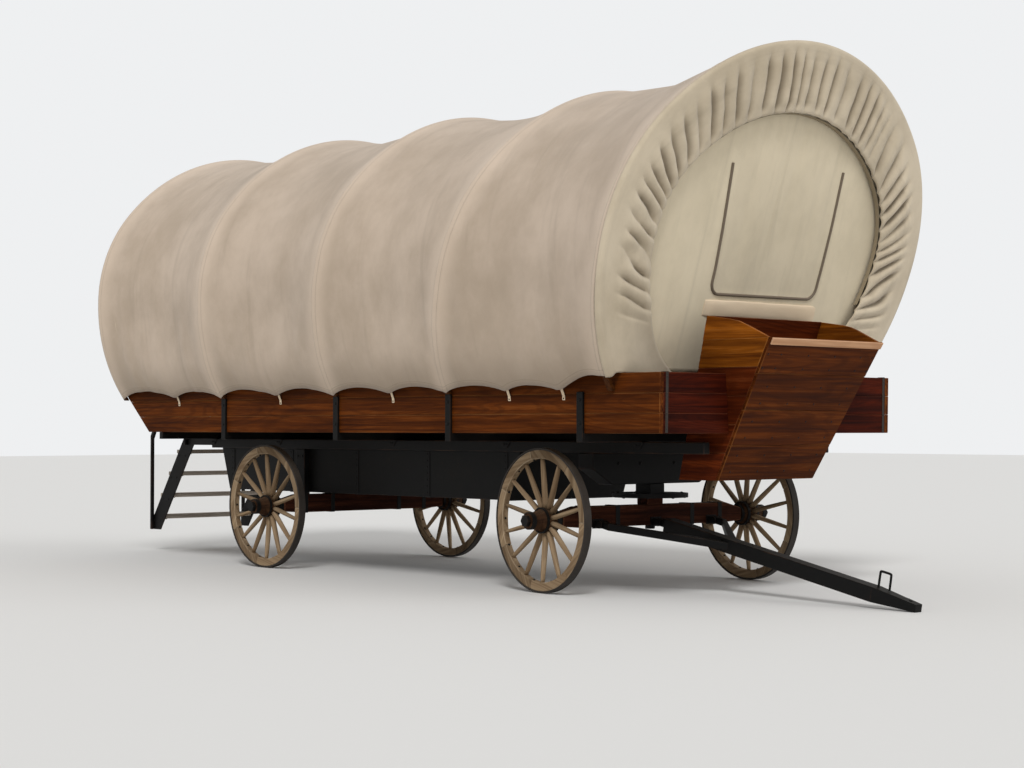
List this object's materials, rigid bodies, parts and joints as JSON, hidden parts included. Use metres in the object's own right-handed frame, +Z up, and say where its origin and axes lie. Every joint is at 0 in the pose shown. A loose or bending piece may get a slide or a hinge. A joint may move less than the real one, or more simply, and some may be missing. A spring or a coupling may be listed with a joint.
{
  "type": "covered wagon",
  "caption": "Long covered wagon with a bonneted canvas cover, sloped front box, dished wooden wheels on a steering axle, ground-resting tongue, rear door and hanging steps.",
  "frame": {"origin": "on the ground, under the middle of the box that bounds the whole wagon with its tongue and steps", "axes": "+Y runs from the tongue to the rear door, +X to the driver's left, +Z up"},
  "size_m": [3.27, 8.597, 3.765],
  "materials": {
    "wheel_wood": "varnished, weathered",
    "body_wood": "stained",
    "box_wood": "stained dark",
    "tread_wood": "weathered",
    "axle_wood": "stained dark red-brown",
    "black_steel": "satin black paint",
    "tyre_steel": "dull, worn",
    "canvas": "heavy woven canvas",
    "front_canvas": "heavy woven canvas"
  },
  "bodies": {
    "root": {"deck": "body_wood", "left_side_board": "body_wood", "right_side_board": "body_wood", "left_stakes": "black_steel", "right_stakes": "black_steel", "front_end_boards": "box_wood", "rear_end_boards": "body_wood", "front_bulkhead": "box_wood", "frame_rails": "black_steel", "cross_sills": "black_steel", "belly_box": "black_steel", "front_bolster": "black_steel", "rear_bolster": "black_steel", "upper_turntable": "black_steel", "rear_axle": "axle_wood", "bows": "wheel_wood", "end_bows": "wheel_wood", "canopy": "canvas", "front_bonnet": "canvas", "front_curtain": "front_canvas", "rear_bonnet": "canvas", "rear_curtain": "front_canvas", "door_frame": "body_wood", "front_box_sides": "box_wood", "front_box_front": "box_wood", "front_box_back": "box_wood", "front_box_floor": "box_wood", "step_stringers": "black_steel", "step_treads": "tread_wood", "hand_rails": "black_steel"},
    "front_gear": {"front_axle": "axle_wood", "lower_turntable": "black_steel", "tongue_brackets": "black_steel"},
    "tongue": {"tongue_hounds": "black_steel", "tongue_pole": "black_steel"},
    "door": {"rear_door": "body_wood"},
    "front_left": {"front_left_tyre": "tyre_steel", "front_left_wheel": "wheel_wood"},
    "front_right": {"front_right_tyre": "tyre_steel", "front_right_wheel": "wheel_wood"},
    "rear_left": {"rear_left_tyre": "tyre_steel", "rear_left_wheel": "wheel_wood"},
    "rear_right": {"rear_right_tyre": "tyre_steel", "rear_right_wheel": "wheel_wood"}
  },
  "joints": [
    {"name": "steering", "type": "hinge", "parent": "root", "child": "front_gear", "pos_m": [0, -1.73904, 0.65], "axis": [0, 0, 1], "range_deg": [-20, 30]},
    {"name": "tongue_lift", "type": "hinge", "parent": "front_gear", "child": "tongue", "pos_m": [-0.01046, -1.85859, 0.47], "axis": [-0.9962, 0.0872, 0], "range_deg": [0, 20]},
    {"name": "door_swing", "type": "hinge", "parent": "root", "child": "door", "pos_m": [-0.477, 3.21596, 2.1], "axis": [0, 0, -1], "range_deg": [0, 100]},
    {"name": "front_left_spin", "type": "hinge", "parent": "front_gear", "child": "front_left", "pos_m": [0.9962, -1.8262, 0.508], "axis": [0.9962, -0.0872, 0], "continuous": true},
    {"name": "front_right_spin", "type": "hinge", "parent": "front_gear", "child": "front_right", "pos_m": [-0.9962, -1.65189, 0.508], "axis": [0.9962, -0.0872, 0], "continuous": true},
    {"name": "rear_left_spin", "type": "hinge", "parent": "root", "child": "rear_left", "pos_m": [1, 1.70096, 0.508], "axis": [1, 0, 0], "continuous": true},
    {"name": "rear_right_spin", "type": "hinge", "parent": "root", "child": "rear_right", "pos_m": [-1, 1.70096, 0.508], "axis": [1, 0, 0], "continuous": true}
  ]
}
